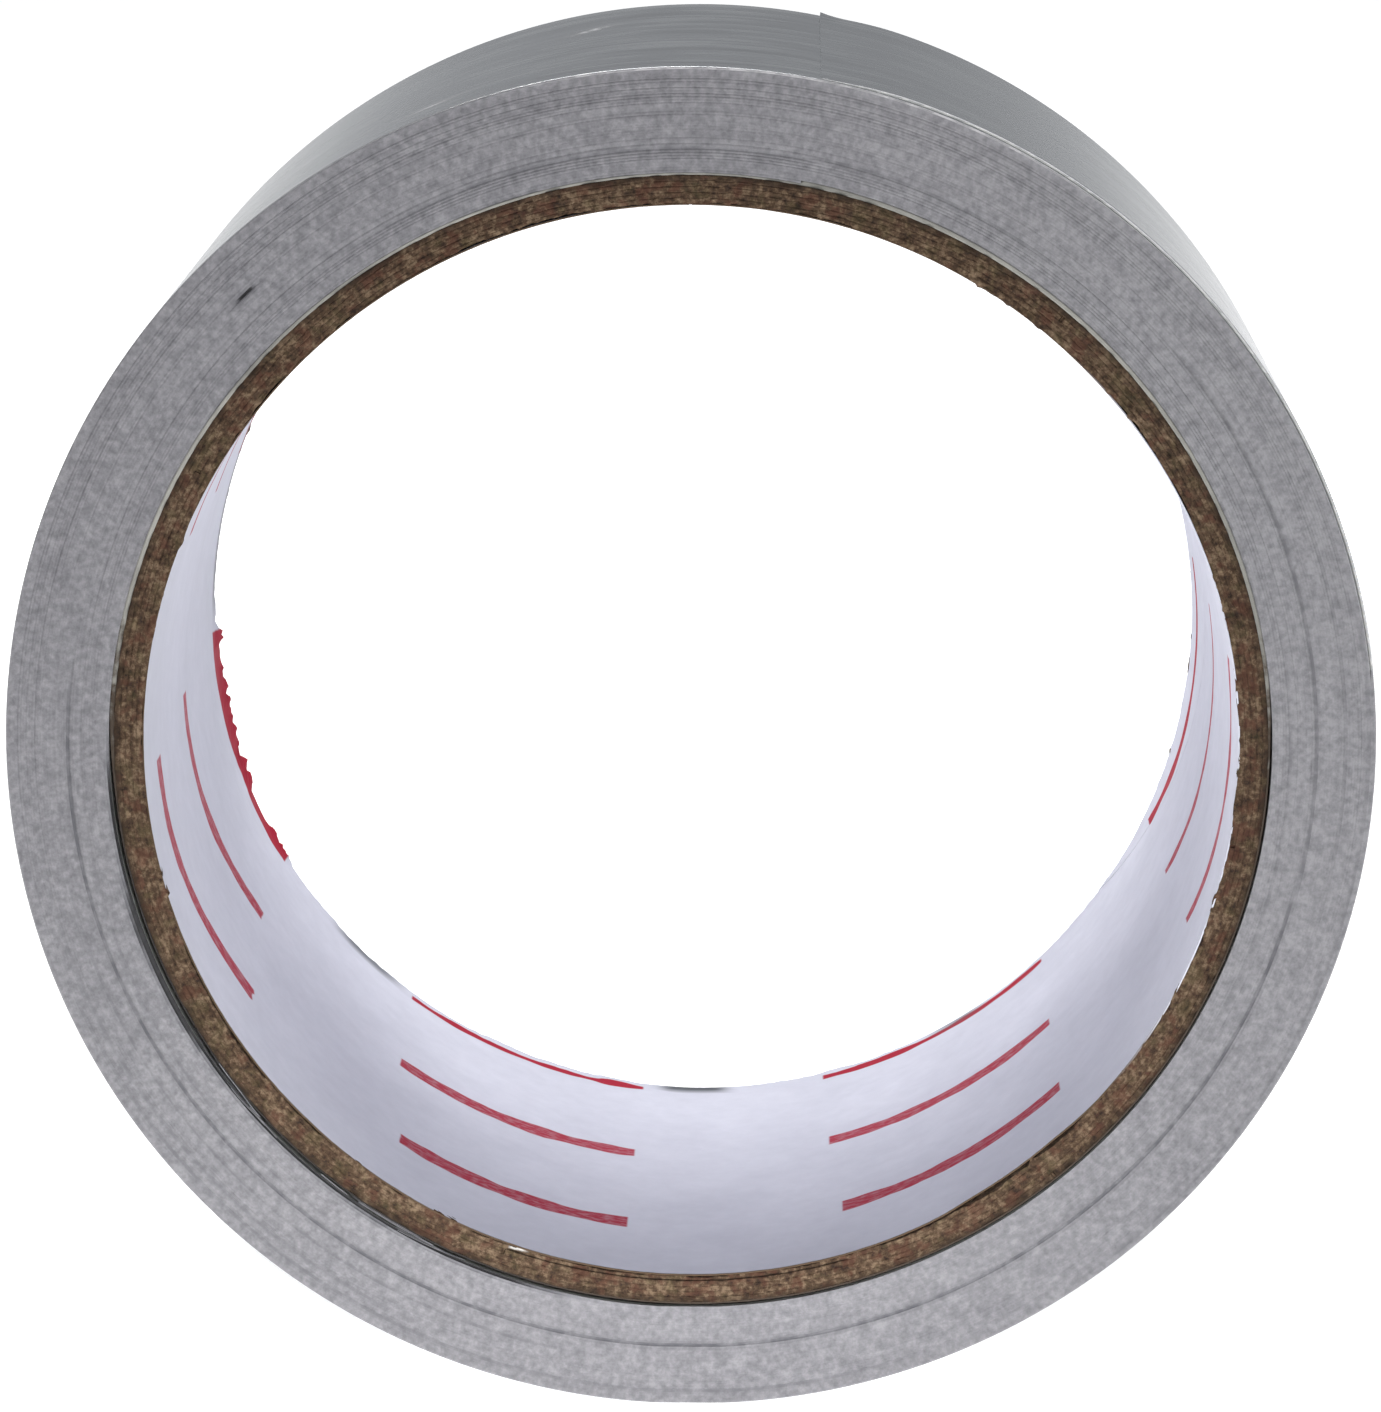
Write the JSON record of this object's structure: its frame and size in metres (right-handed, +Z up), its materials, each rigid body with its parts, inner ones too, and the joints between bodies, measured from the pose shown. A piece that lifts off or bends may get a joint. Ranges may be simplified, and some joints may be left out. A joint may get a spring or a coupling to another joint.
{
  "type": "duct tape roll",
  "caption": "Cloth-backed silver adhesive tape wound on a paperboard core, for sealing and repair; its free end peels off the roll.",
  "frame": {"origin": "the centre of the core's bore, half way along it", "axes": "+Y along the bore from the front end to the back end, +Z up with the roll standing on its rim, +X to the right seen from the front"},
  "size_m": [0.0951, 0.048, 0.095],
  "materials": {
    "silver_film": "satin",
    "cloth": "matte",
    "adhesive": "satin",
    "kraft_board": "matte",
    "pale_paper": "matte",
    "printed_paper": "satin"
  },
  "bodies": {
    "roll": {"core_liner": "printed_paper", "core_ply_1": "kraft_board", "core_ply_2": "kraft_board", "core_ply_3": "kraft_board", "core_ply_4": "kraft_board", "core_ply_5": "kraft_board", "core_wrap": "pale_paper", "tape_adhesive": "adhesive", "tape_scrim": "cloth", "tape_backing": "silver_film"},
    "tail_1": {"tail_1_adhesive": "adhesive", "tail_1_scrim": "cloth", "tail_1_backing": "silver_film"},
    "tail_2": {"tail_2_adhesive": "adhesive", "tail_2_scrim": "cloth", "tail_2_backing": "silver_film"},
    "tail_3": {"tail_3_adhesive": "adhesive", "tail_3_scrim": "cloth", "tail_3_backing": "silver_film"},
    "tail_4": {"tail_4_adhesive": "adhesive", "tail_4_scrim": "cloth", "tail_4_backing": "silver_film"}
  },
  "joints": [
    {"name": "peel_1", "type": "hinge", "parent": "roll", "child": "tail_1", "pos_m": [0.0472, 0, 0.00588], "axis": [0, 1, 0], "range_deg": [0, 25]},
    {"name": "peel_2", "type": "hinge", "parent": "tail_1", "child": "tail_2", "pos_m": [0.04307, 0, 0.0202], "axis": [0, 1, 0], "range_deg": [0, 25]},
    {"name": "peel_3", "type": "hinge", "parent": "tail_2", "child": "tail_3", "pos_m": [0.03471, 0, 0.03254], "axis": [0, 1, 0], "range_deg": [0, 25]},
    {"name": "peel_4", "type": "hinge", "parent": "tail_3", "child": "tail_4", "pos_m": [0.02295, 0, 0.0417], "axis": [0, 1, 0], "range_deg": [0, 25]}
  ],
  "couplings": [
    {"joint": "peel_2", "follows": "peel_1", "ratio": 1},
    {"joint": "peel_3", "follows": "peel_1", "ratio": 1},
    {"joint": "peel_4", "follows": "peel_1", "ratio": 1}
  ]
}
